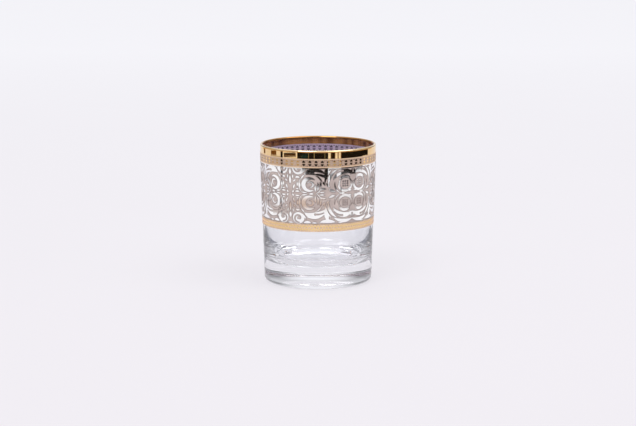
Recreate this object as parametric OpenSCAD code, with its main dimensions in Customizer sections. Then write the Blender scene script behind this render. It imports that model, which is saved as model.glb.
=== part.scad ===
// Straight tumbler of clear glass with a heavy base. Fired metal bands cover the upper part of its
// wall: gold round the lip, a row of etched roundels, platinum with etched scrollwork, and a lower
// gold band with lozenges. Millimetres, +Z up, with the middle of the foot on the table at the origin.
// Angles round the glass are counted from the front, -Y, towards +X.

/* [Glass] */
// Height over the gilded lip
glass_h = 95.5; // [85:0.5:120]
// Outer diameter over the gilded lip
rim_d = 80; // [74:0.5:92]
// Outer diameter of the wall, drawn down to the table
foot_d = 74.7; // [68:0.1:88]
// Thickness of the wall at the lip
lip_wall = 1.6; // [1:0.1:2.4]
// Thickness of the wall where the inside begins to draw in
heel_wall = 2; // [1.2:0.1:3.5]
// Height of the solid base's top, the floor of the bowl
base_t = 13.5; // [8:0.5:20]
// Radius of the inside corner between floor and wall
corner_r = 13; // [8:0.5:18]
// Radius of the gentle sweep from that corner up to the wall
sweep_r = 90; // [60:1:140]
// Height of that sweep
sweep_h = 16.5; // [8:0.5:24]
// Radius of the outer edge of the foot
foot_edge_r = 3.5; // [0.6:0.1:6]
// Width of the ring that the glass stands on
standing_ring_w = 3; // [2:0.5:12]
// Depth of the hollow under the base
punt_h = 3.5; // [0.3:0.1:5]

/* [Metal bands] */
// Height of the burnished gold band, measured down from the lip
rim_band_h = 5.6; // [4:0.1:8]
// How far the gold runs down inside the lip
lip_turn_in = 0.6; // [0.2:0.1:2]
// Height of the roundel band
roundel_band_h = 6.1; // [5:0.1:8]
// Height of the scroll band
scroll_band_h = 38.3; // [30:0.1:42]
// Height of the lower gold band
lower_band_h = 5.2; // [4:0.1:7]
// Thickness of a metal film
film_t = 0.15; // [0.1:0.01:0.3]
// Height of the etched relief above its film
relief_t = 0.12; // [0.05:0.01:0.25]

/* [Roundel band] */
// Gap from a roundel to the lines over and under it
roundel_clear = 0.3; // [0.1:0.05:0.8]
// Least gap between two roundels
roundel_gap = 0.15; // [0.05:0.05:1]
// Height of the matte line over the roundels
upper_line_h = 0.7; // [0.3:0.05:1]
// Height of the gold line under the roundels
lower_line_h = 0.8; // [0.3:0.05:1]

/* [Scroll band] */
// Number of times the scrollwork repeats round the glass
repeats = 3; // [3:1:4]
// Angle of the first pattern axis
pattern_turn = -26; // [-180:1:180]
// Gap between the boss of a ringed medallion and the ring round it
boss_gap = 0.4; // [0.2:0.05:1]

/* [Lower band] */
// Gap from a lozenge to the lines over and under it
lozenge_clear = 0.65; // [0.2:0.05:1]
// Width of a lozenge
lozenge_w = 1.8; // [1:0.1:2.5]
// Least gap between two lozenges
lozenge_gap = 0.21; // [0.05:0.01:1]
// Height of the matte edge line over the lozenges
lozenge_upper_line_h = 0.5; // [0.3:0.05:0.8]
// Height of the burnished edge line under the lozenges
lozenge_lower_line_h = 0.6; // [0.3:0.05:0.8]

/* [Hidden] */
$fn = 96;

// Points on each quarter of a round edge, and on the hollow under the base
edge_steps = 8;
// Points on the inside corner, and on the sweep above it
corner_steps = 16;
sweep_steps = 8;
// How far a cutter reaches past what it cuts
overrun = 1;

// The bare glass, without its film of metal
lip_r = rim_d / 2 - film_t;
foot_r = foot_d / 2 - film_t;
lip_z = glass_h - film_t;
taper = atan((lip_r - foot_r) / glass_h);
function wall_r(z) = foot_r + (lip_r - foot_r) * z / glass_h;

lip_edge_r = lip_wall / 2;
lip_edge_z = lip_z - lip_edge_r;
lip_edge_x = wall_r(lip_edge_z) - lip_edge_r / cos(taper);
corner_z = base_t + corner_r;
heel_z = corner_z + sweep_h;
heel_x = wall_r(heel_z) - heel_wall;
sweep_x = heel_x - sweep_r;
sweep_angle = asin(sweep_h / (sweep_r - corner_r));
corner_x = sweep_x + (sweep_r - corner_r) * cos(sweep_angle);
ring_outer_r = wall_r(foot_edge_r) - foot_edge_r / cos(taper);
ring_inner_r = ring_outer_r - standing_ring_w;

// The bands, from the lip down
rim_band_z = glass_h - rim_band_h;
roundel_band_z = rim_band_z - roundel_band_h;
scroll_band_z = roundel_band_z - scroll_band_h;
lower_band_z = scroll_band_z - lower_band_h;

function arc(x, z, r, from, to, steps) =
    [for (i = [0:steps]) let (a = from + (to - from) * i / steps) [x + r * cos(a), z + r * sin(a)]];

// A thin ring on the glass, from one height to another, between two distances out from its wall
module cone_ring(low, high, inner, outer) {
    rotate_extrude()
        polygon([
            [wall_r(low) + inner, low],
            [wall_r(low) + outer, low],
            [wall_r(high) + outer, high],
            [wall_r(high) + inner, high],
        ]);
}

// Stands its child, drawn flat with Y up, on the glass at an angle and a height, and cuts it there to relief
module pressed_on(angle, z) {
    rotate(angle)
        translate([0, 0, z])
            rotate([90, 0, 0])
                translate([0, 0, wall_r(z) - overrun])
                    linear_extrude(2 * overrun)
                        children();
}

module glass_tumbler() {
    hollow = [for (i = [0:edge_steps]) let (t = i / edge_steps)
        [ring_inner_r * t, punt_h * (1 - t * t)]];
    sweep_end = sweep_angle * (sweep_steps - 1) / sweep_steps;
    color("aliceblue", 0.35)
        rotate_extrude()
            polygon(concat(
                hollow,
                arc(ring_outer_r, foot_edge_r, foot_edge_r, -90, -taper, edge_steps),
                arc(lip_edge_x, lip_edge_z, lip_edge_r, -taper, 180, 2 * edge_steps),
                arc(sweep_x, heel_z, sweep_r, 0, -sweep_end, sweep_steps - 1),
                arc(corner_x, corner_z, corner_r, -sweep_angle, -90, corner_steps),
                [[0, base_t]]
            ));
}

module rim_gold_band() {
    turn_in_z = lip_edge_z - lip_turn_in;
    color("#e2bd83")
        rotate_extrude()
            polygon(concat(
                [[wall_r(rim_band_z), rim_band_z], [wall_r(rim_band_z) + film_t, rim_band_z]],
                arc(lip_edge_x, lip_edge_z, lip_edge_r + film_t, -taper, 180, 2 * edge_steps),
                [
                    [lip_edge_x - lip_edge_r - film_t, turn_in_z],
                    [inner_wall_x(turn_in_z), turn_in_z],
                ],
                arc(lip_edge_x, lip_edge_z, lip_edge_r, 180, -taper, 2 * edge_steps)
            ));
}
// The inside of the wall, between the lip and the sweep
function inner_wall_x(z) =
    let (lip_x = lip_edge_x - lip_edge_r)
    heel_x + (lip_x - heel_x) * (z - heel_z) / (lip_edge_z - heel_z);

module roundel_band_film() {
    color("#d8b985") cone_ring(roundel_band_z, rim_band_z, 0, film_t);
}

// Equal figures side by side round the glass, as many as there is room for, each one cut out of relief
module row_of_figures(z, width, gap) {
    count = floor(2 * PI * (wall_r(z) + film_t) / (width + gap));
    intersection() {
        cone_ring(lower_band_z, rim_band_z, film_t, film_t + relief_t);
        for (i = [0:count - 1]) pressed_on(i * 360 / count, z) children();
    }
}

module roundel_row() {
    low = roundel_band_z + lower_line_h + roundel_clear;
    high = rim_band_z - upper_line_h - roundel_clear;
    color("#b9a8ab")
        row_of_figures((low + high) / 2, high - low, roundel_gap) circle(d = high - low);
}
module roundel_band_lines() {
    color("#c9ab84") {
        cone_ring(rim_band_z - upper_line_h, rim_band_z, film_t, film_t + relief_t);
        cone_ring(roundel_band_z, roundel_band_z + lower_line_h, film_t, film_t + relief_t);
    }
}

module platinum_band_film() {
    color("#dcdde2") cone_ring(scroll_band_z, roundel_band_z, 0, film_t);
}

// The scrollwork fills the band with one quarter cell, mirrored up and down and to both sides.
// A cell is half a repeat wide and half the band high. Places in it are shares of that width and
// height, counted from the pattern axis and the middle of the band. Radii and widths are shares of
// the motif size, which is the cell's height, or less where the cell is narrow for its height.
cell_h = scroll_band_h / 2;
scroll_mid_z = scroll_band_z + cell_h;
cell_angle = 180 / repeats;
mid_r = wall_r(scroll_mid_z) + film_t;
cell_w = mid_r * cell_angle * PI / 180;
cell_wide_share = 2.14;
motif = min(cell_h, cell_w / cell_wide_share);
ridge_end_share = 0.012;

medallion_shares = [0.32, 0.33];
volute_shares = [0.122, 0.71];
ringed_shares = [0.84, 0.34];
inner_ring_share = 0.2;
inner_ring_w_share = 0.065;

// Centre, first and last radius, first and last angle, first and last width, and steps
scroll_shares = [
    [medallion_shares, 0.285, 0.285, 340, 60, 0.08, 0.08, 8],
    [medallion_shares, 0.285, 0.1, 60, -330, 0.08, 0.065, 12],
    [medallion_shares, 0.45, 0.44, 10, 122, 0.085, 0.075, 5],
    [volute_shares, 0.195, 0.09, -30, -370, 0.08, 0.06, 10],
    [ringed_shares, 0.295, 0.295, 0, 360, 0.08, 0.08, 14],
    [ringed_shares, inner_ring_share, inner_ring_share, 0, 360, inner_ring_w_share, inner_ring_w_share, 12],
    [ringed_shares, 0.45, 0.475, 172, 62, 0.08, 0.085, 5],
    [ringed_shares, 0.56, 0.585, 176, 64, 0.08, 0.07, 6],
];
// Even vines: start, pull and end, width, and steps
vine_shares = [
    [[0.024, 0.28], [0.074, 0.48], [0.024, 0.8], 0.07, 4],
    [[0.552, 0.62], [0.53, 0.8], [0.44, 0.95], 0.08, 3],
    [[0.98, 0.46], [0.945, 0.6], [0.98, 0.8], 0.07, 4],
    [[0.575, 0.01], [0.575, 0.26], [0.575, 0.62], 0.11, 2],
];
// Eyes in the middle of the scrolls: centre and radius
eye_shares = [
    [medallion_shares, 0.09],
    [volute_shares, 0.085],
];
// Leaves, which swell from both ends: start, pull and end, width, and steps
leaf_shares = [
    [[0.006, 0.03], [0.083, 0.085], [0.15, 0.02], 0.1, 3],
    [[0.006, 0.14], [0.083, 0.165], [0.14, 0.2], 0.1, 3],
    [[0.035, 0.29], [0.09, 0.28], [0.14, 0.46], 0.09, 3],
    [[0.07, 0.44], [0.112, 0.42], [0.17, 0.53], 0.07, 3],
    [[0.006, 0.96], [0.088, 0.94], [0.18, 0.97], 0.05, 3],
    [[0.23, 0.83], [0.22, 0.9], [0.29, 0.97], 0.09, 3],
    [[0.31, 0.86], [0.34, 0.95], [0.42, 0.96], 0.09, 3],
    [[0.39, 0.03], [0.43, 0.02], [0.52, 0.01], 0.045, 3],
    [[0.528, 0.37], [0.502, 0.21], [0.525, 0.05], 0.08, 3],
    [[0.622, 0.37], [0.648, 0.21], [0.625, 0.05], 0.08, 3],
    [[0.43, 0.66], [0.47, 0.67], [0.505, 0.59], 0.06, 3],
    [[0.82, 0.715], [0.88, 0.74], [0.93, 0.7], 0.055, 3],
    [[0.975, 0.85], [0.9, 0.91], [0.83, 0.97], 0.06, 3],
];
// Berries: centre and radius
berry_shares = [
    [[0.575, 0.86], 0.04],
    [[0.549, 0.785], 0.032],
    [[0.601, 0.785], 0.032],
];

function place(share) = [share[0] * cell_w, share[1] * cell_h];
function bezier(a, b, c, t) = (1 - t) * (1 - t) * a + 2 * t * (1 - t) * b + t * t * c;
function swell(t) = max(sin(180 * t), 0);

// A path is a list of [place, width], both in millimetres on the unrolled band
function scroll_path(s) = [for (i = [0:s[7]])
    let (t = i / s[7], r = s[1] + (s[2] - s[1]) * t, a = s[3] + (s[4] - s[3]) * t)
    [place(s[0]) + r * motif * [cos(a), sin(a)], motif * (s[5] + (s[6] - s[5]) * t)]];
function vine_path(v) = [for (i = [0:v[4]])
    [bezier(place(v[0]), place(v[1]), place(v[2]), i / v[4]), motif * v[3]]];
function leaf_path(v) = [for (i = [0:v[4]])
    [bezier(place(v[0]), place(v[1]), place(v[2]), i / v[4]),
     motif * max(v[3] * swell(i / v[4]), ridge_end_share)]];
function side_step(path, i) =
    let (d = path[min(i + 1, len(path) - 1)][0] - path[max(i - 1, 0)][0])
    path[i][1] / 2 / norm(d) * [-d[1], d[0]];

// A point of the unrolled band on the glass, some way out from the film
function on_band(p, rise) =
    let (a = pattern_turn + p[0] / mid_r * 180 / PI,
         z = scroll_mid_z + p[1],
         r = wall_r(z) + film_t + rise)
    [r * sin(a), -r * cos(a), z];

// A raised ridge along a path, in the cell that "flip" mirrors and "shift" moves along the band
module ridge(path, flip, shift) {
    n = len(path);
    function at(p, rise) = on_band([shift + flip[0] * p[0], flip[1] * p[1]], rise);
    points = [for (i = [0:n - 1]) let (p = path[i][0], s = side_step(path, i))
        each [at(p + s, 0), at(p - s, 0), at(p, relief_t)]];
    faces = concat(
        [for (i = [0:n - 2]) for (k = [0:2]) let (a = 3 * i + k, b = 3 * i + (k + 1) % 3)
            each [[a, a + 3, b], [b, a + 3, b + 3]]],
        [[0, 1, 2], [3 * n - 1, 3 * n - 2, 3 * n - 3]]
    );
    polyhedron(points, flip[0] * flip[1] < 0 ? faces : [for (f = faces) [f[2], f[1], f[0]]]);
}

// A low dome on the band
module berry(p, r, flip, shift) {
    spot = [shift + flip[0] * p[0], flip[1] * p[1]];
    translate(on_band(spot, 0))
        rotate([90 + taper, 0, pattern_turn + spot[0] / mid_r * 180 / PI])
            hull() {
                cylinder(r = r, h = relief_t / 2, $fn = 8);
                cylinder(r = r / 2, h = relief_t, $fn = 4);
            }
}

// The middle of each repeat, and above and below the middle of the band
module in_each_repeat() {
    for (k = [0:repeats - 1])
        for (up = [-1, 1]) {
            $up = up;
            $shift = 2 * k * cell_w;
            children();
        }
}

module platinum_scrollwork() {
    color("#a5999a")
        in_each_repeat()
            for (side = [-1, 1]) {
                for (s = scroll_shares) ridge(scroll_path(s), [side, $up], $shift);
                for (v = vine_shares) ridge(vine_path(v), [side, $up], $shift);
                for (e = eye_shares) berry(place(e[0]), e[1] * motif, [side, $up], $shift);
            }
}

module platinum_leaves() {
    color("#b4a6a4")
        in_each_repeat()
            for (side = [-1, 1]) {
                for (v = leaf_shares) ridge(leaf_path(v), [side, $up], $shift);
                for (b = berry_shares) berry(place(b[0]), b[1] * motif, [side, $up], $shift);
            }
}

module medallion_bosses() {
    boss_r = (inner_ring_share - inner_ring_w_share / 2) * motif - boss_gap;
    color("#b5a7a6")
        intersection() {
            cone_ring(scroll_band_z, roundel_band_z, film_t, film_t + relief_t);
            for (k = [0:repeats - 1])
                for (side = [-1, 1])
                    for (up = [-1, 1])
                        pressed_on(
                            pattern_turn + cell_angle * (2 * k + side * ringed_shares[0]),
                            scroll_mid_z + up * ringed_shares[1] * cell_h
                        )
                            circle(r = boss_r);
        }
}

module lower_band_film() {
    color("#d9b77f") cone_ring(lower_band_z, scroll_band_z, 0, film_t);
}

module lozenge_row() {
    low = lower_band_z + lozenge_lower_line_h + lozenge_clear;
    high = scroll_band_z - lozenge_upper_line_h - lozenge_clear;
    x = lozenge_w / 2;
    y = (high - low) / 2;
    color("#d8b4a6")
        row_of_figures((low + high) / 2, lozenge_w, lozenge_gap)
            polygon([[x, 0], [0, y], [-x, 0], [0, -y]]);
}

module lower_band_lines() {
    color("#c99f62") {
        cone_ring(scroll_band_z - lozenge_upper_line_h, scroll_band_z, film_t, film_t + relief_t);
        cone_ring(lower_band_z, lower_band_z + lozenge_lower_line_h, film_t, film_t + relief_t);
    }
}

glass_tumbler();
rim_gold_band();
roundel_band_film();
roundel_row();
roundel_band_lines();
platinum_band_film();
platinum_scrollwork();
platinum_leaves();
medallion_bosses();
lower_band_film();
lozenge_row();
lower_band_lines();
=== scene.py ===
# Straight tumbler of clear glass with a heavy base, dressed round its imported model. The glass is
# turned, and its fired metal bands are burnished rings with etched relief of roundels, scrollwork and
# lozenges that goes right through them, so that it also shows from inside. Lengths are millimetres
# until a mesh is written. Angles round the glass are counted from the front, -Y, towards +X.

import math

import bpy
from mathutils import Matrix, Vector, geometry


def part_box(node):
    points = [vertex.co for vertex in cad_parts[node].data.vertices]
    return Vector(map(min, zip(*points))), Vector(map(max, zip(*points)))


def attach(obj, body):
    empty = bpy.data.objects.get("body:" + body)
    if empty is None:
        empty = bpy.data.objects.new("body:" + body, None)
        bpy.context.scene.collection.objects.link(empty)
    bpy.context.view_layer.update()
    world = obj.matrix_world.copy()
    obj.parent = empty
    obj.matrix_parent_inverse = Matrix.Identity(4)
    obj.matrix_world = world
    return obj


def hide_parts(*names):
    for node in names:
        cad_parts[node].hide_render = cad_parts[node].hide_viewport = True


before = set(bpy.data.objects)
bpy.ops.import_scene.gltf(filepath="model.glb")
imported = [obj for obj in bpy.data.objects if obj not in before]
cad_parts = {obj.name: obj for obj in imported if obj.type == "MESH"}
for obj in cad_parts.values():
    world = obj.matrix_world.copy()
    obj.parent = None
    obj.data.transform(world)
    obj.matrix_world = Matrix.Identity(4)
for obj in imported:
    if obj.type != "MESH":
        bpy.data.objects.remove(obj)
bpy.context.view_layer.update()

MM = 0.001
# A length under this counts as none
TINY = 1e-6
ROUND_STEPS = 240
SHARP_ANGLE = 35

# Camera: its distance and height, how far it looks down, lens, sensor and nearest and farthest sight
CAMERA_BACK = 1150.0
CAMERA_HIGH = 248.7
CAMERA_PITCH = 9.972
CAMERA_LENS = 95.24
CAMERA_SENSOR = 36
CAMERA_CLIP_M = (0.01, 100)

# Glass
LIP_WALL = 1.6
HEEL_WALL = 2.0
HEEL_TOP_Z = 43.0
HEEL_R = 90.0
CORNER_R = 13.0
BASE_T = 13.5
FOOT_EDGE_R = 3.5
STANDING_RING_W = 3.0
PUNT_H = 3.5
# How far the gilding goes down inside, from the middle of the lip's round
LIP_TURN_IN = 0.6

# Metal films and the relief that goes through them. Both sink a little into the glass, and the relief's
# top slopes down by EDGE_DROP over its last EDGE_W.
FILM_T = 0.15
RELIEF_T = 0.12
FILM_SINK = 0.02
RELIEF_SINK = 0.04
EDGE_DROP = 0.05
EDGE_W = 0.26

# Steps along the glass's outline: under the foot, outside, over the lip and inside
HOLLOW_STEPS = 24
RING_STEPS = 6
FOOT_STEPS = 16
WALL_STEPS = 90
LIP_ROUND_STEPS = 32
INNER_WALL_STEPS = 60
HEEL_STEPS = 32
CORNER_STEPS = 40
BOWL_FLOOR_STEPS = 12
# Steps up the gilding's straight side and round its lip, and how many of those are on the outer side
# and top of the lip, which are painted paler as a highlight; the rest of the lip is painted darker as shade
RIM_STEPS = 10
LIP_STEPS = 48
LIP_OUTER_STEPS = 27


def node_heights(node):
    low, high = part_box(node)
    return low.z / MM, high.z / MM


GLASS_Z = node_heights("glass_tumbler")
RIM_Z = node_heights("rim_gold_band")
ROUNDEL_Z = node_heights("roundel_band_film")
SCROLL_Z = node_heights("platinum_band_film")
LOWER_Z = node_heights("lower_band_film")

# The wall's line, from the widest places of the topmost and the lowest film
WALL_HIGH = (ROUNDEL_Z[1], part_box("roundel_band_film")[1].x / MM - FILM_T)
WALL_LOW = (LOWER_Z[1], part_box("lower_band_film")[1].x / MM - FILM_T)
WALL_SLOPE = (WALL_HIGH[1] - WALL_LOW[1]) / (WALL_HIGH[0] - WALL_LOW[0])
TAPER = math.degrees(math.atan(WALL_SLOPE))
TAPER_COS = math.cos(math.radians(TAPER))


def wall_r(z):
    return WALL_LOW[1] + (z - WALL_LOW[0]) * WALL_SLOPE


def between(start, end, share):
    return start + (end - start) * share


def around(r, angle, z):
    """A place at a distance from the axis and an angle round it, in radians."""
    return r * math.sin(angle), -r * math.cos(angle), z


def arc(x, z, r, start, end, steps):
    """The points of an arc round (x, z), with its angles in degrees."""
    points = []
    for i in range(steps + 1):
        a = math.radians(start + (end - start) * i / steps)
        points.append((x + r * math.cos(a), z + r * math.sin(a)))
    return points


def line(a, b, steps):
    """The points between a and b, without a and b."""
    return [(a[0] + (b[0] - a[0]) * i / steps, a[1] + (b[1] - a[1]) * i / steps) for i in range(1, steps)]


# Materials

def new_material(name):
    material = bpy.data.materials.new(name)
    material.use_nodes = True
    nodes = material.node_tree.nodes
    return material, nodes, material.node_tree.links, nodes["Principled BSDF"]


def noise(nodes, links, scale, detail, stretch=(1, 1, 1), seed=0.0):
    """A noise in object space, whose scale is per metre. The stretch squeezes it along an axis."""
    coordinates = nodes.new("ShaderNodeTexCoord")
    mapping = nodes.new("ShaderNodeMapping")
    mapping.inputs["Scale"].default_value = stretch
    mapping.inputs["Location"].default_value = (seed, seed, seed)
    texture = nodes.new("ShaderNodeTexNoise")
    texture.inputs["Scale"].default_value = scale
    texture.inputs["Detail"].default_value = detail
    links.new(coordinates.outputs["Object"], mapping.inputs["Vector"])
    links.new(mapping.outputs["Vector"], texture.inputs["Vector"])
    return texture.outputs["Fac"]


def spread(nodes, links, value, low, high, span=(0.3, 0.7)):
    """Maps a span of a value onto the range from low to high. The default span is a noise's middle."""
    ramp = nodes.new("ShaderNodeMapRange")
    ramp.inputs["From Min"].default_value, ramp.inputs["From Max"].default_value = span
    ramp.inputs["To Min"].default_value, ramp.inputs["To Max"].default_value = low, high
    links.new(value, ramp.inputs["Value"])
    return ramp.outputs["Result"]


def two_tone(nodes, links, value, first, second, span=(0.3, 0.7)):
    """Goes from the first colour to the second over a span of a value."""
    mix = nodes.new("ShaderNodeMix")
    mix.data_type = "RGBA"
    mix.inputs["A"].default_value = (*first, 1)
    mix.inputs["B"].default_value = (*second, 1)
    links.new(spread(nodes, links, value, 0, 1, span), mix.inputs["Factor"])
    return mix.outputs["Result"]


def bump(nodes, links, shader, value, depth, strength):
    """Roughens a shader's surface by a value; the depth is in millimetres."""
    node = nodes.new("ShaderNodeBump")
    node.inputs["Distance"].default_value = depth * MM
    node.inputs["Strength"].default_value = strength
    links.new(value, node.inputs["Height"])
    links.new(node.outputs["Normal"], shader.inputs["Normal"])


def glass_material():
    """Clear glass with slow ripples and a few faint smears."""
    material, nodes, links, shader = new_material("clear_glass")
    shader.inputs["Base Color"].default_value = (0.968, 0.975, 0.992, 1)
    shader.inputs["Transmission Weight"].default_value = 1
    shader.inputs["IOR"].default_value = 1.52
    ripple = noise(nodes, links, scale=55, detail=2.0, stretch=(1, 1, 0.35))
    smear = noise(nodes, links, scale=160, detail=5.0, seed=3.0)
    links.new(spread(nodes, links, smear, 0.0, 0.02, span=(0.55, 0.8)), shader.inputs["Roughness"])
    bump(nodes, links, shader, ripple, depth=0.35, strength=0.12)
    return material


def mirror_material(name, bright, deep, rough, metallic=1.0, cloud_scale=90, cloud_stretch=(1, 1, 1),
                    cloud_span=(0.3, 0.7)):
    """Burnished metal: a mirror with faint brush marks round the glass and soft waves."""
    material, nodes, links, shader = new_material(name)
    shader.inputs["Metallic"].default_value = metallic
    marks = noise(nodes, links, scale=260, detail=6.0, stretch=(0.12, 0.12, 6.0))
    cloud = noise(nodes, links, cloud_scale, detail=3.0, stretch=cloud_stretch, seed=5.0)
    links.new(two_tone(nodes, links, cloud, bright, deep, cloud_span), shader.inputs["Base Color"])
    links.new(spread(nodes, links, marks, *rough), shader.inputs["Roughness"])
    bump(nodes, links, shader, cloud, depth=0.05, strength=0.07)
    return material


def etched_material(name, light, dark, metallic, rough):
    """Etched metal: fine frosted grain in two tones of one colour."""
    material, nodes, links, shader = new_material(name)
    shader.inputs["Metallic"].default_value = metallic
    grain = noise(nodes, links, scale=2600, detail=4.0)
    cloud = noise(nodes, links, scale=150, detail=4.0, seed=7.0)
    links.new(two_tone(nodes, links, cloud, light, dark), shader.inputs["Base Color"])
    links.new(spread(nodes, links, grain, *rough), shader.inputs["Roughness"])
    bump(nodes, links, shader, grain, depth=0.02, strength=0.5)
    return material


CLEAR_GLASS = glass_material()

# Burnished metal: name, bright and deep tone, and least and greatest roughness
GOLD = mirror_material("burnished_gold", (0.93, 0.68, 0.36), (0.86, 0.6, 0.29), (0.0, 0.04))
GOLD_YELLOW = mirror_material("yellow_gold", (0.92, 0.69, 0.33), (0.86, 0.62, 0.27), (0.0, 0.05))
# The lip's gold, in a paler copy for its outer side and top: a painted highlight
GOLD_LIP_HIGHLIGHT = mirror_material("gold_lip_painted_highlight", (0.95, 0.76, 0.5), (0.88, 0.66, 0.38), (0.05, 0.12))
# The lip's gold, in a darker copy for its inner side: painted shade
GOLD_LIP_SHADE = mirror_material(
    "gold_lip_painted_shade", (0.62, 0.34, 0.12), (0.42, 0.2, 0.06), (0.05, 0.12))
GOLD_BACK = mirror_material(
    "gold_from_inside", (1.0, 0.5, 0.17), (0.3, 0.12, 0.03), (0.1, 0.24),
    metallic=0.5, cloud_scale=150, cloud_stretch=(1, 1, 0.06), cloud_span=(0.4, 0.6))
PLATINUM = mirror_material("burnished_platinum", (0.97, 0.96, 0.96), (0.9, 0.89, 0.9), (0.04, 0.08))
PLATINUM_BACK = mirror_material(
    "platinum_from_inside", (0.9, 0.88, 0.9), (0.82, 0.8, 0.83), (0.15, 0.25))
LILAC_BACK = mirror_material(
    "roundel_band_from_inside", (0.42, 0.33, 0.5), (0.27, 0.2, 0.33), (0.2, 0.3), metallic=0.5)

# Etched metal: name, light and dark tone, how metallic it is, and least and greatest roughness
ETCHED_GOLD = etched_material("etched_gold", (0.8, 0.6, 0.42), (0.7, 0.5, 0.34), 0.55, (0.38, 0.55))
ETCHED_ROSE = etched_material(
    "etched_lozenges", (0.78, 0.57, 0.46), (0.68, 0.48, 0.38), 0.5, (0.38, 0.55))
ETCHED_PINK = etched_material(
    "etched_roundels", (0.58, 0.42, 0.32), (0.46, 0.33, 0.25), 0.5, (0.4, 0.55))
ETCHED_PLATINUM = etched_material(
    "etched_platinum", (0.64, 0.55, 0.52), (0.48, 0.4, 0.38), 0.5, (0.38, 0.56))
# Near-black edges of the platinum relief: painted shade round the etched strokes
ETCHED_EDGE_SHADE = etched_material(
    "etched_edge_painted_shade", (0.19, 0.145, 0.13), (0.14, 0.105, 0.095), 0.4, (0.35, 0.5))
ETCHED_LILAC = etched_material(
    "etched_roundels_from_inside", (0.97, 0.82, 1.0), (0.86, 0.68, 0.92), 0.1, (0.4, 0.6))
ETCHED_BACK = etched_material(
    "etched_from_inside", (0.86, 0.75, 0.85), (0.72, 0.62, 0.71), 0.2, (0.4, 0.6))

# Relief takes three of them, for its top, its underside, which shows from inside, and its edges; the
# platinum relief's edges are painted near black, as shade round its strokes
PLATINUM_RELIEF = [ETCHED_PLATINUM, ETCHED_BACK, ETCHED_EDGE_SHADE]
ROUNDEL_RELIEF = [ETCHED_PINK, ETCHED_LILAC, ETCHED_PINK]
LOZENGE_RELIEF = [ETCHED_ROSE, ETCHED_BACK, ETCHED_ROSE]


# Meshes

def metres(vertices):
    return [(x * MM, y * MM, z * MM) for x, y, z in vertices]


def add_piece(name, vertices, faces, materials, indices, nodes):
    """A piece of the glass that stands for CAD nodes. Vertices are in millimetres."""
    mesh = bpy.data.meshes.new(name)
    mesh.from_pydata(metres(vertices), [], faces)
    for material in materials:
        mesh.materials.append(material)
    mesh.polygons.foreach_set("material_index", indices)
    mesh.polygons.foreach_set("use_smooth", [True] * len(faces))
    mesh.set_sharp_from_angle(angle=math.radians(SHARP_ANGLE))
    mesh.validate()
    piece = bpy.data.objects.new(name, mesh)
    bpy.context.scene.collection.objects.link(piece)
    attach(piece, "root")
    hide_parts(*nodes)


def turn(name, profiles, sides, materials, nodes, closed=True):
    """Turns profiles round the axis. sides gives the material of each segment of a profile."""
    vertices = []
    faces = []
    indices = []
    for profile in profiles:
        rings = []
        for x, z in profile:
            if x < TINY:
                rings.append([len(vertices)] * ROUND_STEPS)
                vertices.append((0, 0, z))
                continue
            rings.append(list(range(len(vertices), len(vertices) + ROUND_STEPS)))
            vertices += [around(x, 2 * math.pi * i / ROUND_STEPS, z) for i in range(ROUND_STEPS)]
        segments = len(profile) if closed else len(profile) - 1
        for k in range(segments):
            a, b = rings[k], rings[(k + 1) % len(profile)]
            for i in range(ROUND_STEPS):
                j = (i + 1) % ROUND_STEPS
                corners = []
                for v in (a[i], a[j], b[j], b[i]):
                    if v not in corners:
                        corners.append(v)
                faces.append(corners)
                indices.append(sides[k])
    add_piece(name, vertices, faces, materials, indices, nodes)


# Centres of the arcs of lip, heel, inside corner and foot, and where the standing ring lies
LIP_R = LIP_WALL / 2
LIP_Z = GLASS_Z[1] - LIP_R
LIP_X = wall_r(LIP_Z) - LIP_R / TAPER_COS
HEEL_X = wall_r(HEEL_TOP_Z) - HEEL_WALL - HEEL_R
CORNER_Z = BASE_T + CORNER_R
HEEL_TURN = math.degrees(math.asin((HEEL_TOP_Z - CORNER_Z) / (HEEL_R - CORNER_R)))
CORNER_X = HEEL_X + (HEEL_R - CORNER_R) * math.cos(math.radians(HEEL_TURN))
RING_OUTER_R = wall_r(FOOT_EDGE_R) - FOOT_EDGE_R / TAPER_COS
RING_INNER_R = RING_OUTER_R - STANDING_RING_W


def make_glass():
    """The glass in one outline, from under its foot up the outside and down inside to the bowl's floor."""
    hollow = []
    for i in range(HOLLOW_STEPS + 1):
        t = i / HOLLOW_STEPS
        hollow.append((RING_INNER_R * t, PUNT_H * (1 - t * t)))
    foot = arc(RING_OUTER_R, FOOT_EDGE_R, FOOT_EDGE_R, -90, -TAPER, FOOT_STEPS)
    lip = arc(LIP_X, LIP_Z, LIP_R, -TAPER, 180, LIP_ROUND_STEPS)
    heel = arc(HEEL_X, HEEL_TOP_Z, HEEL_R, 0, -HEEL_TURN, HEEL_STEPS)
    corner = arc(CORNER_X, CORNER_Z, CORNER_R, -HEEL_TURN, -90, CORNER_STEPS)
    middle = (0, BASE_T)
    profile = hollow + line(hollow[-1], foot[0], RING_STEPS) + foot
    profile += line(foot[-1], lip[0], WALL_STEPS) + lip
    profile += line(lip[-1], heel[0], INNER_WALL_STEPS) + heel + corner[1:]
    profile += line(corner[-1], middle, BOWL_FLOOR_STEPS) + [middle]
    turn("glass_body", [profile], [0] * len(profile), [CLEAR_GLASS], ["glass_tumbler"],
         closed=False)


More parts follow.
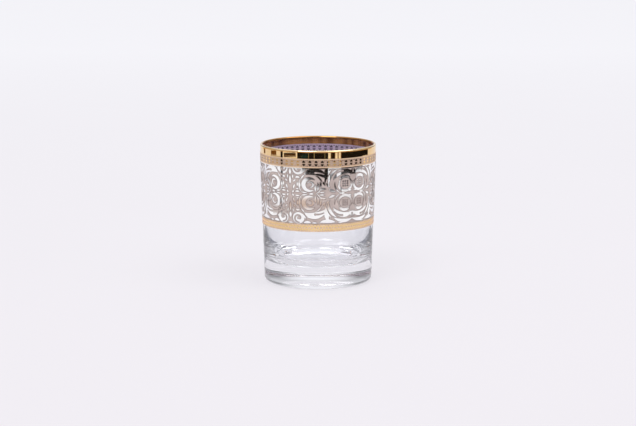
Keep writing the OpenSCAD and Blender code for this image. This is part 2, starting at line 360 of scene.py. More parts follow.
def make_rim():
    """Gilding up the outside of the lip, over it and a little way down inside. The lip's outer side and top
    are a paler gold, a painted highlight, and its inner side a darker gold, painted shade.
    """
    turn_in_z = LIP_Z - LIP_TURN_IN
    inner_x = LIP_X - LIP_R
    foot_x = wall_r(RIM_Z[0])
    outside = [(foot_x - FILM_SINK, RIM_Z[0]), (foot_x + FILM_T, RIM_Z[0])]
    lip = arc(LIP_X, LIP_Z, LIP_R + FILM_T, -TAPER, 180, LIP_STEPS)
    outside += line(outside[1], lip[0], RIM_STEPS)
    straight = len(outside)
    outside += lip + [(inner_x - FILM_T, turn_in_z)]
    inside = [(inner_x + FILM_SINK, turn_in_z)]
    inside += arc(LIP_X, LIP_Z, LIP_R - FILM_SINK, 180, -TAPER, LIP_ROUND_STEPS)
    on_side, on_back, on_lip_highlight, on_lip_shade = range(4)
    sides = [on_side] * straight + [on_lip_highlight] * LIP_OUTER_STEPS
    sides += [on_lip_shade] * (len(outside) - len(sides)) + [on_back] * len(inside)
    turn("rim_gold", [outside + inside], sides, [GOLD, GOLD_BACK, GOLD_LIP_HIGHLIGHT, GOLD_LIP_SHADE],
         ["rim_gold_band"])


# A ring's four sides, of which the last faces the glass and shows from inside
RING_SIDES = [0, 0, 0, 1]


def ring_profile(low, high, inner, outer):
    return [(wall_r(low) + inner, low), (wall_r(low) + outer, low),
            (wall_r(high) + outer, high), (wall_r(high) + inner, high)]


def make_film(name, heights, outside, inside, node):
    """A plain ring of metal; outside and inside are the materials that it shows there."""
    profile = ring_profile(*heights, -FILM_SINK, FILM_T)
    turn(name, [profile], RING_SIDES, [outside, inside], [node])


def make_lines(name, heights, row, inside, node):
    """The two edge lines of a gold band: from its heights to those of the row between them."""
    spans = [(heights[0], row[0]), (row[1], heights[1])]
    profiles = [ring_profile(low, high, -RELIEF_SINK, FILM_T + RELIEF_T) for low, high in spans]
    turn(name, profiles, RING_SIDES, [ETCHED_GOLD, inside], [node])


# Relief, drawn flat as strokes and spots and laid round the glass

# The triangulation takes places nearer than this as one, and gives all triangles of the convex hull
CELL_NEAR = 1e-4
WHOLE_HULL = 0
# Copies of a cell are welded by a grid of this many places to a millimetre
WELD_GRID = 2000


class Flat:
    """Strokes on the unrolled wall. A place is (x, y), along the wall and up it from a middle height."""

    def __init__(self, middle_z, stretch=0.0):
        self.middle_z = middle_z
        self.mid_r = wall_r(middle_z) + FILM_T
        self.stretch = stretch
        self.points = []
        self.faces = []
        self.group_ends = []

    def add(self, corners):
        base = len(self.points)
        self.points += [Vector(p) for p in corners]
        self.faces.append(list(range(base, base + len(corners))))

    def stroke(self, path):
        """path is a list of (x, y, width)."""
        sides = []
        for i, (x, y, width) in enumerate(path):
            before, after = path[max(i - 1, 0)], path[min(i + 1, len(path) - 1)]
            step = Vector((after[0] - before[0], after[1] - before[1])).normalized()
            across = Vector((-step.y, step.x)) * width / 2
            sides.append((Vector((x, y)) + across, Vector((x, y)) - across))
        for a, b in zip(sides, sides[1:]):
            self.add([a[1], b[1], b[0], a[0]])

    def spot(self, x, y, r, steps):
        corners = []
        for i in range(steps):
            a = 2 * math.pi * i / steps
            corners.append((x + r * math.cos(a), y + r * math.sin(a)))
        self.add(corners)

    def close_group(self):
        """Ends a group of faces. Groups are numbered from 0."""
        self.group_ends.append(len(self.faces))

    def cell(self, width, height, pitch, kept):
        """The triangles of a cell from (0, 0) to (width, height), in columns about a pitch wide.

        The kept rule takes a triangle by the set of the groups that lie over it.
        """
        points = list(self.points)
        faces = list(self.faces)
        drawn = len(faces)
        columns = max(1, round(width / pitch))
        for i in range(columns):
            x0, x1 = width * i / columns, width * (i + 1) / columns
            base = len(points)
            points += [Vector(p) for p in ((x0, 0), (x1, 0), (x1, height), (x0, height))]
            faces.append([base, base + 1, base + 2, base + 3])
        made = geometry.delaunay_2d_cdt(points, [], faces, WHOLE_HULL, CELL_NEAR)
        places, _, triangles, _, _, owners = made
        taken = []
        for triangle, owner in zip(triangles, owners):
            groups = {sum(o >= end for end in self.group_ends) for o in owner if o < drawn}
            if any(o >= drawn for o in owner) and kept(groups):
                taken.append(triangle)
        return places, taken

    def bend(self, x, y, rise):
        """A flat place on the cone of the wall, raised from the glass."""
        z = self.middle_z + y
        a = x / self.mid_r
        a += self.stretch * math.sin(a - PATTERN_MIDDLE)
        return around(wall_r(z) + rise, a, z)


def weld(cells, length):
    """Copies each cell's triangles by (shift, flip x, flip y) along a strip that closes on itself."""
    index = {}
    points = []
    faces = []
    for (places, triangles), copies in cells:
        for shift, fx, fy in copies:
            ids = []
            for p in places:
                x = (shift + fx * p.x) % length
                y = fy * p.y
                key = (round(x * WELD_GRID) % round(length * WELD_GRID), round(y * WELD_GRID))
                if key not in index:
                    index[key] = len(points)
                    points.append((x, y))
                ids.append(index[key])
            for triangle in triangles:
                face = [ids[v] for v in triangle]
                if len(set(face)) == len(face):
                    faces.append(face if fx * fy > 0 else face[::-1])
    return points, faces


def free_edges(faces):
    """The edges that only one face has, in the order of the faces."""
    edges = dict.fromkeys((a, b) for face in faces for a, b in zip(face, face[1:] + face[:1]))
    return [(a, b) for a, b in edges if (b, a) not in edges]


def edge_pulls(points, rim, length):
    """How far the top of the relief draws in at each place of its edge."""
    inward = {}
    for a, b in rim:
        dx = points[b][0] - points[a][0]
        dx = (dx + length / 2) % length - length / 2
        step = Vector((dx, points[b][1] - points[a][1])).normalized()
        for v in (a, b):
            inward[v] = inward.get(v, Vector((0, 0))) + Vector((-step.y, step.x))
    return {v: way.normalized() * EDGE_W if way.length > TINY else Vector((0, 0))
            for v, way in inward.items()}


def lay_round(name, flat, cells, length, materials, nodes):
    """Welds the copies of cells, closes them into relief with a sloping edge and bends it round."""
    points, flat_faces = weld(cells, length)
    rim = free_edges(flat_faces)
    pulls = edge_pulls(points, rim, length)
    top, shoulder, bottom = {}, {}, {}
    vertices = []
    for v in sorted({v for face in flat_faces for v in face}):
        x, y = points[v]
        bottom[v] = len(vertices)
        vertices.append(flat.bend(x, y, -RELIEF_SINK))
        if v in pulls:
            shoulder[v] = len(vertices)
            vertices.append(flat.bend(x, y, FILM_T + RELIEF_T - EDGE_DROP))
            x, y = x + pulls[v].x, y + pulls[v].y
        top[v] = len(vertices)
        vertices.append(flat.bend(x, y, FILM_T + RELIEF_T))
    on_top, on_underside, on_edge = range(3)
    faces = []
    indices = []
    for face in flat_faces:
        faces.append([top[v] for v in face])
        faces.append([bottom[v] for v in reversed(face)])
        indices += [on_top, on_underside]
    for a, b in rim:
        faces.append([bottom[a], bottom[b], shoulder[b], shoulder[a]])
        faces.append([shoulder[a], shoulder[b], top[b], top[a]])
        indices += [on_edge, on_edge]
    add_piece(name, vertices, faces, materials, indices, nodes)


# Scrollwork: one quarter cell, mirrored up and down and to both sides. It is a matte field with burnished
# gaps, and matte ridges that curl into the gaps. Places are shares of the cell's width and height, and
# radii and widths are shares of its height.

REPEATS = 3
# Where its first mirror line stands before the stretch, in degrees from the front
PATTERN_TURN = -26.0
# The hand-laid pattern is a little wider round its front than round its back
PATTERN_STRETCH = math.radians(4.8)
PATTERN_MIDDLE = math.radians(4.0)
# The pattern stands higher than the middle of its band, so its top is cut off by the band's edge
PATTERN_RAISE = 1.75
# Burnished line between the pattern and the band's upper edge
TOP_LINE = 0.6
SCROLL_MID_Z = (SCROLL_Z[0] + SCROLL_Z[1]) / 2 + PATTERN_RAISE
SCROLL_MID_R = wall_r(SCROLL_MID_Z) + FILM_T
# A cell is half a repeat wide. Under the middle it is whole, and over it the band's edge cuts it off.
CELL_W = SCROLL_MID_R * math.radians(180 / REPEATS)
CELL_H = SCROLL_MID_Z - SCROLL_Z[0]
CELL_TOP = SCROLL_Z[1] - SCROLL_MID_Z - TOP_LINE

# Middles of the motifs
MEDALLION = (0.32, 0.293)
VOLUTE = (0.134, 0.8)
RINGED = (0.866, 0.31)
VOLUTE_R = 0.19
# The boss in the ringed medallion, the gap round it, and the rows of small holes in it
BOSS_R = 0.19
BOSS_GAP = 0.028
DOT_R = 0.021
DOT_PITCH = 0.074

# Crescents: centre, first and last radius, first and last angle, and greatest width
CRESCENTS = [
    (MEDALLION, 0.205, 0.2, 50, 305, 0.13),
    (MEDALLION, 0.085, 0.095, -110, 165, 0.055),
    (MEDALLION, 0.345, 0.345, 136, 238, 0.032),
    (MEDALLION, 0.345, 0.345, 296, 352, 0.032),
    (MEDALLION, 0.37, 0.535, 119, 19, 0.22),
    (MEDALLION, 0.335, 0.36, 64, 6, 0.035),
    (RINGED, 0.24, 0.24, 184, 380, 0.078),
    (RINGED, 0.245, 0.245, 50, 145, 0.08),
    (RINGED, 0.405, 0.4, 160, 46, 0.17),
    (RINGED, 0.53, 0.545, 184, 118, 0.09),
    (RINGED, 0.635, 0.645, 180, 132, 0.06),
    (RINGED, 0.6, 0.595, 128, 62, 0.12),
    (RINGED, 0.34, 0.34, 172, 250, 0.032),
]
# Slits that swell from both ends: start, pull and end, and greatest width
SLITS = [
    ((0.0, 0.29), (0.0, 0.43), (0.0, 0.575), 0.075),
    ((0.0, 0.6), (0.0, 0.7), (0.0, 0.8), 0.085),
    ((-0.05, 0.97), (0.0, 0.95), (0.05, 0.97), 0.045),
    ((0.215, 0.965), (0.27, 0.9), (0.335, 0.955), 0.09),
    ((0.345, 0.965), (0.38, 0.935), (0.43, 0.965), 0.05),
    ((0.57, 0.5), (0.555, 0.72), (0.6, 0.9), 0.14),
    ((0.46, 0.94), (0.585, 0.86), (0.715, 0.945), 0.13),
    ((0.395, 0.06), (0.405, 0.22), (0.4, 0.3), 0.06),
    ((0.43, 0.08), (0.45, 0.2), (0.435, 0.36), 0.05),
    ((0.475, 0.2), (0.485, 0.28), (0.47, 0.38), 0.05),
    ((0.46, 0.05), (0.5, 0.03), (0.54, 0.045), 0.045),
    ((0.475, 0.11), (0.51, 0.18), (0.56, 0.15), 0.06),
    ((0.5, 0.4), (0.525, 0.34), (0.545, 0.27), 0.045),
    ((0.6, 0.135), (0.65, 0.095), (0.705, 0.05), 0.08),
    ((0.565, 0.34), (0.585, 0.26), (0.62, 0.21), 0.045),
    ((0.03, 0.02), (0.05, 0.05), (0.06, 0.1), 0.05),
    ((0.05, 0.14), (0.058, 0.22), (0.08, 0.3), 0.055),
    ((0.08, 0.05), (0.115, 0.09), (0.16, 0.06), 0.055),
    ((0.095, 0.15), (0.12, 0.16), (0.145, 0.13), 0.045),
    ((0.115, 0.22), (0.125, 0.3), (0.115, 0.38), 0.05),
    ((0.155, 0.2), (0.168, 0.27), (0.155, 0.36), 0.045),
    ((0.085, 0.5), (0.12, 0.57), (0.16, 0.5), 0.07),
    ((0.05, 0.36), (0.065, 0.43), (0.1, 0.44), 0.045),
    ((0.035, 0.47), (0.048, 0.54), (0.05, 0.62), 0.045),
    ((0.175, 0.47), (0.2, 0.55), (0.235, 0.62), 0.05),
    ((0.21, 0.68), (0.225, 0.75), (0.26, 0.83), 0.045),
    ((0.185, 0.06), (0.23, 0.035), (0.28, 0.03), 0.045),
    ((0.3, 0.02), (0.34, 0.01), (0.375, 0.02), 0.035),
    ((0.26, 0.76), (0.33, 0.8), (0.42, 0.79), 0.05),
    ((0.77, 0.025), (0.82, 0.012), (0.87, 0.02), 0.04),
    ((0.93, 0.04), (0.95, 0.09), (0.985, 0.08), 0.045),
    ((0.955, 0.58), (0.975, 0.68), (0.985, 0.79), 0.055),
    ((0.745, 0.955), (0.79, 0.97), (0.83, 0.965), 0.035),
]
# Ridges in the gaps: centre, first and last radius, first and last angle, first and last width
CURLS = [
    (VOLUTE, 0.155, 0.035, 78, 405, 0.042, 0.062),
    (RINGED, 0.475, 0.43, 160, 104, 0.04, 0.05),
    (MEDALLION, 0.42, 0.53, 66, 38, 0.06, 0.03),
]
# Spots that end the curls: middle and radius
CURL_ENDS = [
    (VOLUTE, 0.044),
    ((0.819, 0.727), 0.038),
    ((0.399, 0.677), 0.038),
]

# Columns of the field are about this wide
FIELD_PITCH = 2.0
# A stroke's least width, and the power that fills out a swelling stroke
STROKE_LEAST_W = 0.008
SWELL_POWER = 0.8
# Degrees that a step of a crescent or a curl takes, and the least number of steps
CRESCENT_STEP = 7
CURL_STEP = 9
LEAST_STEPS = 8
SLIT_STEPS = 12
VOLUTE_STEPS = 28
BOSS_STEPS = 40
CURL_END_STEPS = 16
DOT_STEPS = 8


def place(share):
    return share[0] * CELL_W, share[1] * CELL_H


def bezier(a, b, c, t):
    return tuple((1 - t) ** 2 * a[k] + 2 * t * (1 - t) * b[k] + t * t * c[k] for k in range(2))


def swell(t, width):
    """The width of a stroke that is widest in its middle, at a share t of its length."""
    return max(width * math.sin(math.pi * t) ** SWELL_POWER, STROKE_LEAST_W) * CELL_H


def draw_spiral(flat, centre, radii, angles, step, width_at):
    """A stroke whose radius and angle change evenly. width_at gives its width at a share of its length."""
    x, y = place(centre)
    steps = max(LEAST_STEPS, round(abs(angles[1] - angles[0]) / step))
    path = []
    for i in range(steps + 1):
        t = i / steps
        a = math.radians(between(*angles, t))
        r = between(*radii, t) * CELL_H
        path.append((x + r * math.cos(a), y + r * math.sin(a), width_at(t)))
    flat.stroke(path)


def draw_gaps(flat):
    """The burnished crescents, slits and rounds."""
    for centre, r0, r1, a0, a1, width in CRESCENTS:
        draw_spiral(flat, centre, (r0, r1), (a0, a1), CRESCENT_STEP, lambda t: swell(t, width))
    for start, pull, end, width in SLITS:
        path = []
        for i in range(SLIT_STEPS + 1):
            t = i / SLIT_STEPS
            path.append((*bezier(place(start), place(pull), place(end), t), swell(t, width)))
        flat.stroke(path)
    flat.spot(*place(VOLUTE), VOLUTE_R * CELL_H, VOLUTE_STEPS)
    flat.spot(*place(RINGED), (BOSS_R + BOSS_GAP) * CELL_H, BOSS_STEPS)
    flat.close_group()


def draw_ridges(flat):
    """The matte curls that lie in the gaps."""
    for centre, r0, r1, a0, a1, w0, w1 in CURLS:
        draw_spiral(flat, centre, (r0, r1), (a0, a1), CURL_STEP, lambda t: between(w0, w1, t) * CELL_H)
    for centre, r in CURL_ENDS:
        flat.spot(*place(centre), r * CELL_H, CURL_END_STEPS)
    flat.close_group()


def draw_dots(flat):
    """Small holes in rows over a boss."""
    x0, y0 = place(RINGED)
    reach = (BOSS_R - 2 * DOT_R) * CELL_H
    pitch = DOT_PITCH * CELL_H
    rows = int(reach / pitch)
    for row in range(-rows, rows + 1):
        for column in range(-rows, rows + 1):
            x, y = column * pitch, row * pitch
            if math.hypot(x, y) < reach:
                flat.spot(x0 + x, y0 + y, DOT_R * CELL_H, DOT_STEPS)
    flat.close_group()


def pattern_copies(flip_y):
    """The copies of the cell round the glass, under the pattern's middle where flip_y is -1."""
    turn_x = math.radians(PATTERN_TURN) * SCROLL_MID_R
    return [(turn_x + 2 * k * CELL_W, flip_x, flip_y) for k in range(REPEATS) for flip_x in (-1, 1)]


def make_scrollwork():
    flat = Flat(SCROLL_MID_Z, PATTERN_STRETCH)
    draw_gaps(flat)
    draw_ridges(flat)
    halves = []
    for height, flip_y in ((CELL_H, -1), (CELL_TOP, 1)):
        cell = flat.cell(CELL_W, height, FIELD_PITCH, lambda groups: not groups or 1 in groups)
        halves.append((cell, pattern_copies(flip_y)))
    lay_round("scrollwork", flat, halves, 2 * REPEATS * CELL_W, PLATINUM_RELIEF,
              ["platinum_scrollwork", "platinum_leaves"])


def make_bosses():
    flat = Flat(SCROLL_MID_Z, PATTERN_STRETCH)
    draw_dots(flat)
    flat.spot(*place(RINGED), BOSS_R * CELL_H, BOSS_STEPS)
    flat.close_group()
    cell = flat.cell(CELL_W, CELL_H, FIELD_PITCH, lambda groups: groups == {1})
    copies = pattern_copies(-1) + pattern_copies(1)
    lay_round("bosses", flat, [(cell, copies)], 2 * REPEATS * CELL_W, PLATINUM_RELIEF,
              ["medallion_bosses"])


# Rows of roundels and lozenges, each between a band's upper and lower edge line, whose heights these are
ROUNDEL_LINES = (0.7, 0.8)
LOZENGE_LINES = (0.5, 0.6)
ROUNDEL_ROW_Z = (ROUNDEL_Z[0] + ROUNDEL_LINES[1], ROUNDEL_Z[1] - ROUNDEL_LINES[0])
LOZENGE_ROW_Z = (LOWER_Z[0] + LOZENGE_LINES[1], LOWER_Z[1] - LOZENGE_LINES[0])

ROUNDELS = 60
# Where the first roundel stands, in degrees from the front
ROUNDEL_TURN = 1.1
# Between two roundels stand two burnished gaps, over and under the link that joins the roundels: their
# half widths and heights over the row's middle
ROUNDEL_GAP = [(1.2, 0.34), (1.02, 0.95), (0.6, 1.6), (0.0, 2.05)]
# A small burnished eye at both sides of each gap: distance, height and radius
ROUNDEL_EYE = (1.5, 1.75, 0.34)
EYE_STEPS = 8

LOZENGES = 120
# Half width and half height of a lozenge, and of the triangles between the lozenges
LOZENGE = (0.76, 1.12)
LATTICE = (0.76, 1.12)


def make_roundels():
    """A matte field with burnished gaps and eyes, drawn from one gap to the next."""
    low, high = ROUNDEL_ROW_Z
    flat = Flat((low + high) / 2)
    pitch = 2 * math.pi * flat.mid_r / ROUNDELS
    eye_x, eye_y, eye_r = ROUNDEL_EYE
    for x in (0, pitch):
        right = [(x + half_width, y) for half_width, y in ROUNDEL_GAP]
        left = [(x - half_width, y) for half_width, y in ROUNDEL_GAP[-2::-1]]
        flat.add(right + left)
        for side in (-1, 1):
            flat.spot(x + side * eye_x, eye_y, eye_r, EYE_STEPS)
    flat.close_group()
    cell = flat.cell(pitch, (high - low) / 2, pitch, lambda groups: not groups)
    turn_x = math.radians(ROUNDEL_TURN) * flat.mid_r - pitch / 2
    copies = [(turn_x + k * pitch, 1, flip_y) for k in range(ROUNDELS) for flip_y in (-1, 1)]
    lay_round("roundels", flat, [(cell, copies)], ROUNDELS * pitch, ROUNDEL_RELIEF,
              ["roundel_row"])


def make_lozenges():
    """Lozenges, with a triangle over and under each place between two of them."""
    low, high = LOZENGE_ROW_Z
    flat = Flat((low + high) / 2)
    pitch = 2 * math.pi * flat.mid_r / LOZENGES
    half = pitch / 2
    flat.add([(half - LOZENGE[0], 0), (half, -LOZENGE[1]), (half + LOZENGE[0], 0), (half, LOZENGE[1])])
    top = (high - low) / 2
    for x in (0, pitch):
        flat.add([(x - LATTICE[0], top), (x, top - LATTICE[1]), (x + LATTICE[0], top)])
    flat.close_group()
    cell = flat.cell(pitch, top, pitch, lambda groups: 0 in groups)
    copies = [(k * pitch - half, 1, flip_y) for k in range(LOZENGES) for flip_y in (-1, 1)]
    lay_round("lozenges", flat, [(cell, copies)], LOZENGES * pitch, LOZENGE_RELIEF,
              ["lozenge_row"])


make_glass()
make_rim()
make_film("roundel_film", ROUNDEL_Z, GOLD, LILAC_BACK, "roundel_band_film")
make_lines("roundel_lines", ROUNDEL_Z, ROUNDEL_ROW_Z, ETCHED_LILAC, "roundel_band_lines")
make_roundels()
make_film("platinum_film", SCROLL_Z, PLATINUM, PLATINUM_BACK, "platinum_band_film")
make_scrollwork()
make_bosses()
make_film("lower_film", LOWER_Z, GOLD_YELLOW, GOLD_BACK, "lower_band_film")
make_lines("lower_lines", LOWER_Z, LOZENGE_ROW_Z, ETCHED_BACK, "lower_band_lines")
make_lozenges()


# Studio

# Floor: its colour and the share of it that is left in the slow clouds on it, and how far the floor
# reaches and lies under the foot
FLOOR_COLOUR = (0.86, 0.84, 0.88)
FLOOR_CLOUDS = 0.985
FLOOR_REACH = 9000
FOOT_GAP = 0.05
# The share of the floor that glows by itself where it is seen, and its colours at two places on Y
FLOOR_GLOW = 0.8
GLOW_NEAR = (0.8, 0.775, 0.82)
GLOW_FAR = (0.94, 0.94, 0.985)
GLOW_SPAN_M = (-0.4, 2.0)
# World: strength at the horizon and overhead, and the tint of its light and of what is seen of it
WORLD_LEVELS = (0.06, 1.25)
WORLD_LIGHT = (1.0, 0.985, 0.98)
WORLD_SEEN = (0.965, 0.962, 1.0)
# A brighter patch behind the glass: its strength, and the parts of a direction's Y over which it fades
# in and of its Z over which it fades out
BACKDROP_LIFT = 0.66
BACKDROP_EDGE = (0.8, 0.97)
BACKDROP_TOP = (0.3, 0.7)


def add_stage(name, vertices, faces, material):
    mesh = bpy.data.meshes.new(name)
    mesh.from_pydata(metres(vertices), [], faces)
    mesh.materials.append(material)
    thing = bpy.data.objects.new(name, mesh)
    bpy.context.scene.collection.objects.link(thing)
    return thing


def seen_directly(nodes, links, share):
    """The share for rays from the camera, from mirrors and through glass, and 0 for light on things."""
    path = nodes.new("ShaderNodeLightPath")
    total = path.outputs["Is Camera Ray"]
    for kind in ("Is Glossy Ray", "Is Transmission Ray"):
        most = nodes.new("ShaderNodeMath")
        most.operation = "MAXIMUM"
        links.new(total, most.inputs[0])
        links.new(path.outputs[kind], most.inputs[1])
        total = most.outputs["Value"]
    scaled = nodes.new("ShaderNodeMath")
    scaled.operation = "MULTIPLY"
    scaled.inputs[1].default_value = share
    links.new(total, scaled.inputs[0])
    return scaled.outputs["Value"]


def floor_material():
    """Matte and pale, and glowing by itself where it is seen, so that it stays even."""
    material, nodes, links, shader = new_material("pale_floor")
    clouds = noise(nodes, links, scale=8, detail=3.0)
    darker = tuple(FLOOR_CLOUDS * c for c in FLOOR_COLOUR)
    links.new(two_tone(nodes, links, clouds, FLOOR_COLOUR, darker), shader.inputs["Base Color"])
    shader.inputs["Roughness"].default_value = 0.8
    shader.inputs["Specular IOR Level"].default_value = 0.0
    glow = nodes.new("ShaderNodeEmission")
    coordinates = nodes.new("ShaderNodeTexCoord")
    axes = nodes.new("ShaderNodeSeparateXYZ")
    links.new(coordinates.outputs["Object"], axes.inputs["Vector"])
    tone = two_tone(nodes, links, axes.outputs["Y"], GLOW_NEAR, GLOW_FAR, GLOW_SPAN_M)
    links.new(tone, glow.inputs["Color"])
    mix = nodes.new("ShaderNodeMixShader")
    links.new(seen_directly(nodes, links, FLOOR_GLOW), mix.inputs["Fac"])
    links.new(shader.outputs["BSDF"], mix.inputs[1])
    links.new(glow.outputs["Emission"], mix.inputs[2])
    links.new(mix.outputs["Shader"], nodes["Material Output"].inputs["Surface"])
    return material


def make_floor():
    near, far = -FLOOR_REACH, FLOOR_REACH
    corners = [(near, near), (far, near), (far, far), (near, far)]
    add_stage("floor", [(x, y, -FOOT_GAP) for x, y in corners], [[0, 1, 2, 3]], floor_material())


def emitter(name, colour):
    """A surface that only shines, in one colour."""
    material = bpy.data.materials.new(name)
    material.use_nodes = True
    nodes = material.node_tree.nodes
    nodes.clear()
    light = nodes.new("ShaderNodeEmission")
    light.inputs["Color"].default_value = (*colour, 1)
    light.inputs["Strength"].default_value = 1
    out = nodes.new("ShaderNodeOutputMaterial")
    material.node_tree.links.new(light.outputs["Emission"], out.inputs["Surface"])
    return material


# Painted reflections: glowing sheets on the table that light nothing and that only mirrors see, which paint
# the dark, coloured and pale patches in the metal: colour, angles round the glass from and to, and near
# and far distance from its axis at each of those angles. A later one lies over an earlier one.
DARK = (0.012, 0.01, 0.009)
TEAL = (0.01, 0.035, 0.04)
BROWN = (0.16, 0.07, 0.02)
UMBER = (0.07, 0.035, 0.012)
OLIVE = (0.3, 0.28, 0.2)
PALE = (0.85, 0.84, 0.86)
AMBER = (0.6, 0.36, 0.13)
WHITE = (1.0, 0.99, 1.0)
PEACH = (0.62, 0.46, 0.37)
BEIGE = (0.5, 0.42, 0.39)
SAND = (0.5, 0.47, 0.47)
PAINTED_REFLECTIONS = [
    (WHITE, -110, 126, (232, 238), (300, 308)),
    (WHITE, -110, 126, (308, 322), (500, 512)),
    (PEACH, -62, 20, (284, 281), (322, 318)),
    (BEIGE, 20, 116, (281, 300), (318, 340)),
    (BEIGE, -100, -62, (268, 262), (300, 290)),
    (SAND, -106, -77, (500, 478), (546, 522)),
    (SAND, -72, -20, (464, 446), (510, 490)),
    (SAND, 16.5, 45.5, (445, 450), (490, 496)),
    (DARK, -20, -9.5, (392, 380), (535, 533)),
    (DARK, -9.5, -6.5, (380, 376), (533, 532)),
    (OLIVE, -7.7, -6.2, (470, 470), (534, 534)),
    (DARK, -6.5, 16.5, (372, 345), (532, 530)),
    (DARK, -24, -20, (404, 400), (535, 534)),
    (OLIVE, -18.2, -17.3, (470, 470), (535, 535)),
    (OLIVE, 12.6, 13.4, (470, 470), (533, 533)),
    (DARK, -40, -24, (492, 490), (545, 535)),
    (DARK, -31, -24, (440, 430), (490, 490)),
    (TEAL, -33, -20, (494, 494), (512, 512)),
    (DARK, 16.5, 19.3, (345, 350), (532, 532)),
    (DARK, 22.5, 36, (346, 350), (424, 424)),
    (UMBER, 24, 33, (478, 478), (540, 540)),
    (DARK, 27, 30.5, (478, 478), (540, 540)),
    (BROWN, 37.6, 39.6, (452, 452), (540, 540)),
    (BROWN, 44, 45.5, (478, 478), (545, 545)),
    (DARK, 43.5, 45.5, (345, 345), (424, 424)),
    (DARK, 45.5, 60, (359, 361), (548, 555)),
    (DARK, 60, 66, (372, 376), (554, 555)),
    (DARK, 66, 78, (388, 392), (555, 564)),
    (DARK, 78, 97, (448, 470), (564, 586)),
    (DARK, 97, 114, (534, 551), (586, 604)),
    (DARK, -77, -71.5, (430, 430), (556, 556)),
    (DARK, -75.5, -72.5, (396, 396), (430, 430)),
    (TEAL, -75.5, -73.5, (262, 262), (318, 318)),
    (DARK, -79.5, -78, (280, 280), (335, 335)),
    (UMBER, -69, -43, (510, 504), (530, 524)),
    (DARK, -69, -45, (526, 520), (532, 526)),
    (BROWN, -104, -88, (545, 530), (570, 556)),
    (BROWN, -133, -126, (580, 572), (608, 600)),
    (PALE, 24, 33, (396, 398), (402, 404)),
    (PALE, 46, 58, (376, 380), (382, 386)),
    (PALE, 47, 64, (404, 410), (411, 417)),
    (AMBER, -136, -77, (610, 558), (900, 900)),
    (AMBER, -77, 0, (558, 534), (900, 900)),
    (AMBER, 0, 66, (534, 557), (900, 900)),
    (AMBER, 66, 130, (557, 614), (900, 900)),
]
# Height of the lowest sheet, the step from each to the next, and the angle that a step of one takes
SHEET_RISE = 0.2
SHEET_STEP = 0.01
SHEET_ANGLE = 4

# Painted dark edges: dark glowing sheets that light nothing and are seen only through the clear glass,
# which paint its sides' darker edge
SLATE = (0.11, 0.12, 0.155)
MIST = (0.4, 0.41, 0.47)
PAINTED_GLASS_EDGES = [
    (SLATE, 45, 142, (48, 48), (700, 700)),
    (SLATE, -142, -45, (48, 48), (700, 700)),
    (MIST, 25, 120, (40, 40), (48, 48)),
    (MIST, -120, -25, (40, 40), (48, 48)),
]


def make_painted_sheets(name, table):
    """Lays out a table of glowing sheets that light nothing and that the camera doesn't see. Painted
    reflections are seen only by mirrors, and painted dark edges only through glass; the name given says
    which.
    """
    for k, (colour, start, end, near, far) in enumerate(table):
        z = SHEET_RISE + k * SHEET_STEP
        steps = max(1, round((end - start) / SHEET_ANGLE))
        vertices = []
        for i in range(steps + 1):
            t = i / steps
            a = math.radians(between(start, end, t))
            vertices += [around(between(*near, t), a, z), around(between(*far, t), a, z)]
        faces = [[2 * i, 2 * i + 1, 2 * i + 3, 2 * i + 2] for i in range(steps)]
        sheet_name = f"{name}_{k + 1}"
        painted_sheet = add_stage(sheet_name, vertices, faces, emitter(sheet_name, colour))
        painted_sheet.visible_camera = False
        painted_sheet.visible_diffuse = False
        painted_sheet.visible_shadow = False
        painted_sheet.visible_glossy = name == "painted_sheet"
        painted_sheet.visible_transmission = name == "painted_card"


# Soft lamps: name, place in metres, size and power, and the place in metres that they point at
LAMPS = [
    ("soft_key", (0.9, -0.5, 1.4), (1.2, 0.9), 10),
    ("soft_fill", (-0.6, -1.1, 1.5), (0.9, 0.9), 13),
]
LAMP_AIM = (0, 0, 0.04)


def make_lamps():
    for name, spot, size, power in LAMPS:
        data = bpy.data.lights.new(name, "AREA")
        data.shape = "RECTANGLE"
        data.size, data.size_y = size
        data.energy = power
        lamp = bpy.data.objects.new(name, data)
        lamp.location = spot
        lamp.rotation_euler = (Vector(LAMP_AIM) - lamp.location).to_track_quat("-Z", "Y").to_euler()
        bpy.context.scene.collection.objects.link(lamp)


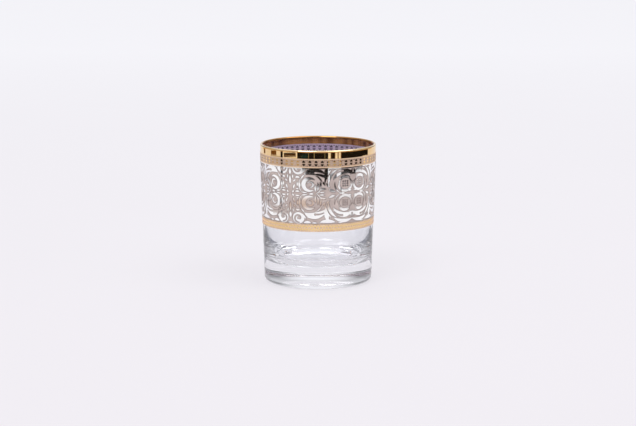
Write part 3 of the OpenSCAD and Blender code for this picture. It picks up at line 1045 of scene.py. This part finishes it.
def make_world():
    """A pale world, brighter overhead and low behind the glass."""
    world = bpy.data.worlds.new("studio")
    bpy.context.scene.world = world
    world.use_nodes = True
    nodes, links = world.node_tree.nodes, world.node_tree.links
    back = nodes["Background"]
    direction = nodes.new("ShaderNodeTexCoord")
    axes = nodes.new("ShaderNodeSeparateXYZ")
    links.new(direction.outputs["Generated"], axes.inputs["Vector"])
    climb = spread(nodes, links, axes.outputs["Z"], *WORLD_LEVELS, span=(0, 1))
    behind = spread(nodes, links, axes.outputs["Y"], 0, BACKDROP_LIFT, BACKDROP_EDGE)
    low = spread(nodes, links, axes.outputs["Z"], 1, 0, BACKDROP_TOP)
    strength = nodes.new("ShaderNodeMath")
    strength.operation = "MULTIPLY_ADD"
    links.new(behind, strength.inputs[0])
    links.new(low, strength.inputs[1])
    links.new(climb, strength.inputs[2])
    tint = nodes.new("ShaderNodeMix")
    tint.data_type = "RGBA"
    tint.inputs["A"].default_value = (*WORLD_LIGHT, 1)
    tint.inputs["B"].default_value = (*WORLD_SEEN, 1)
    links.new(seen_directly(nodes, links, 1.0), tint.inputs["Factor"])
    links.new(tint.outputs["Result"], back.inputs["Color"])
    links.new(strength.outputs["Value"], back.inputs["Strength"])


def make_camera():
    data = bpy.data.cameras.new("camera")
    data.lens = CAMERA_LENS
    data.sensor_width = CAMERA_SENSOR
    data.clip_start, data.clip_end = CAMERA_CLIP_M
    camera = bpy.data.objects.new("camera", data)
    camera.location = (0, -CAMERA_BACK * MM, CAMERA_HIGH * MM)
    camera.rotation_euler = (math.radians(90 - CAMERA_PITCH), 0, 0)
    bpy.context.scene.collection.objects.link(camera)
    bpy.context.scene.camera = camera


# Bounces enough for light that crosses both walls and the base and is thrown about by the bands
cycles = bpy.context.scene.cycles
cycles.max_bounces = 20
cycles.glossy_bounces = 12
cycles.transmission_bounces = 16
make_floor()
# Painted reflections in the metal, and painted dark edges in the glass
make_painted_sheets("painted_sheet", PAINTED_REFLECTIONS)
make_painted_sheets("painted_card", PAINTED_GLASS_EDGES)
make_lamps()
make_world()
make_camera()
bpy.context.scene.view_settings.view_transform = "Standard"

bpy.context.view_layer.update()
